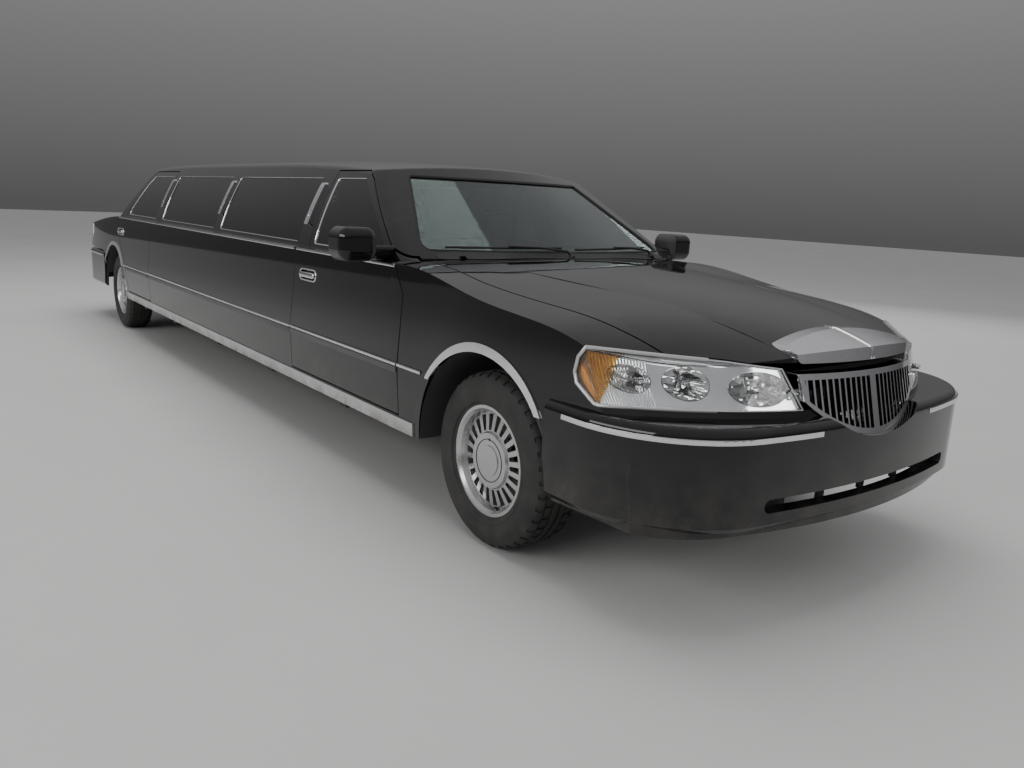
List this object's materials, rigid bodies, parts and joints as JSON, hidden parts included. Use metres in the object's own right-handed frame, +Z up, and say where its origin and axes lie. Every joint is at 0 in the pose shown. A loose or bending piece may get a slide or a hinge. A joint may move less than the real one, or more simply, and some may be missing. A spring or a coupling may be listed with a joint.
{
  "type": "stretch limousine",
  "caption": "Long black stretch limousine with hinged hood, trunk lid and doors, steered front wheels and rolling wheels.",
  "frame": {"origin": "on the ground below the middle of the car's overall box", "axes": "+X forward, +Y to the car's left, +Z up"},
  "size_m": [8.517, 2.242, 1.5519],
  "materials": {
    "paint": "deep gloss black",
    "chrome": "polished chrome",
    "silver_trim": "satin silver moulding",
    "window_glass": "dark tinted glass",
    "lamp_clear": "clear lens over bright reflector",
    "lamp_reflector": "bright reflector",
    "lamp_red": "red lens",
    "tyre": "black rubber",
    "alloy": "machined alloy",
    "black_steel": "black chassis paint",
    "exhaust_steel": "dull steel",
    "cast_metal": "cast metal",
    "seat_leather": "black leather",
    "dash_plastic": "grained plastic"
  },
  "bodies": {
    "body": {"arch_trim": "chrome", "body_shell": "paint", "cabin_glass": "window_glass", "chassis_frame": "black_steel", "dashboard": "dash_plastic", "driveshaft": "black_steel", "engine_block": "cast_metal", "exhaust": "exhaust_steel", "floor_pan": "black_steel", "front_bumper": "paint", "front_fenders": "paint", "front_seats": "seat_leather", "front_suspension": "black_steel", "fuel_tank": "black_steel", "headlamp_lenses": "lamp_clear", "headlamps": "lamp_reflector", "partition": "dash_plastic", "pillar_lamps": "chrome", "radiator_grille": "chrome", "rear_axle": "black_steel", "rear_bumper": "paint", "rear_seats": "seat_leather", "rocker_trim": "silver_trim", "steering_wheel": "dash_plastic", "tail_lamps": "lamp_red"},
    "hood": {"hood": "paint", "hood_header": "chrome"},
    "trunk_lid": {"trunk_lid": "paint"},
    "front_door_right": {"front_door_right": "paint", "front_door_glass_right": "window_glass", "door_mirror_right": "paint"},
    "front_door_left": {"front_door_left": "paint", "front_door_glass_left": "window_glass", "door_mirror_left": "paint"},
    "rear_door_right": {"rear_door_right": "paint", "rear_door_glass_right": "window_glass"},
    "rear_door_left": {"rear_door_left": "paint", "rear_door_glass_left": "window_glass"},
    "knuckle_right": {"knuckle_right": "black_steel"},
    "knuckle_left": {"knuckle_left": "black_steel"},
    "wheel_front_right": {"rim_front_right": "alloy", "tyre_front_right": "tyre"},
    "wheel_front_left": {"rim_front_left": "alloy", "tyre_front_left": "tyre"},
    "wheel_rear_right": {"rim_rear_right": "alloy", "tyre_rear_right": "tyre"},
    "wheel_rear_left": {"rim_rear_left": "alloy", "tyre_rear_left": "tyre"}
  },
  "joints": [
    {"name": "hood_hinge", "type": "hinge", "parent": "body", "child": "hood", "pos_m": [2.5435, 0, 1.055], "axis": [0, -1, 0], "range_deg": [0, 50]},
    {"name": "trunk_hinge", "type": "hinge", "parent": "body", "child": "trunk_lid", "pos_m": [-3.2065, 0, 1.04], "axis": [0, 1, 0], "range_deg": [0, 80]},
    {"name": "front_door_right_hinge", "type": "hinge", "parent": "body", "child": "front_door_right", "pos_m": [2.5765, -0.963, 0.7], "axis": [0, 0, 1], "range_deg": [0, 65]},
    {"name": "rear_door_right_hinge", "type": "hinge", "parent": "body", "child": "rear_door_right", "pos_m": [-1.5775, -0.963, 0.7], "axis": [0, 0, 1], "range_deg": [0, 65]},
    {"name": "steer_right", "type": "hinge", "parent": "body", "child": "knuckle_right", "pos_m": [3.1835, -0.712, 0.35], "axis": [0, 0, 1], "range_deg": [-33, 33]},
    {"name": "wheel_front_right_spin", "type": "hinge", "parent": "knuckle_right", "child": "wheel_front_right", "pos_m": [3.1835, -0.805, 0.35], "axis": [0, 1, 0], "continuous": true},
    {"name": "wheel_rear_right_spin", "type": "hinge", "parent": "body", "child": "wheel_rear_right", "pos_m": [-2.8545, -0.805, 0.35], "axis": [0, 1, 0], "continuous": true},
    {"name": "front_door_left_hinge", "type": "hinge", "parent": "body", "child": "front_door_left", "pos_m": [2.5765, 0.963, 0.7], "axis": [0, 0, -1], "range_deg": [0, 65]},
    {"name": "rear_door_left_hinge", "type": "hinge", "parent": "body", "child": "rear_door_left", "pos_m": [-1.5775, 0.963, 0.7], "axis": [0, 0, -1], "range_deg": [0, 65]},
    {"name": "steer_left", "type": "hinge", "parent": "body", "child": "knuckle_left", "pos_m": [3.1835, 0.712, 0.35], "axis": [0, 0, 1], "range_deg": [-33, 33]},
    {"name": "wheel_front_left_spin", "type": "hinge", "parent": "knuckle_left", "child": "wheel_front_left", "pos_m": [3.1835, 0.805, 0.35], "axis": [0, 1, 0], "continuous": true},
    {"name": "wheel_rear_left_spin", "type": "hinge", "parent": "body", "child": "wheel_rear_left", "pos_m": [-2.8545, 0.805, 0.35], "axis": [0, 1, 0], "continuous": true}
  ],
  "couplings": [
    {"joint": "steer_right", "follows": "steer_left", "ratio": 1}
  ]
}
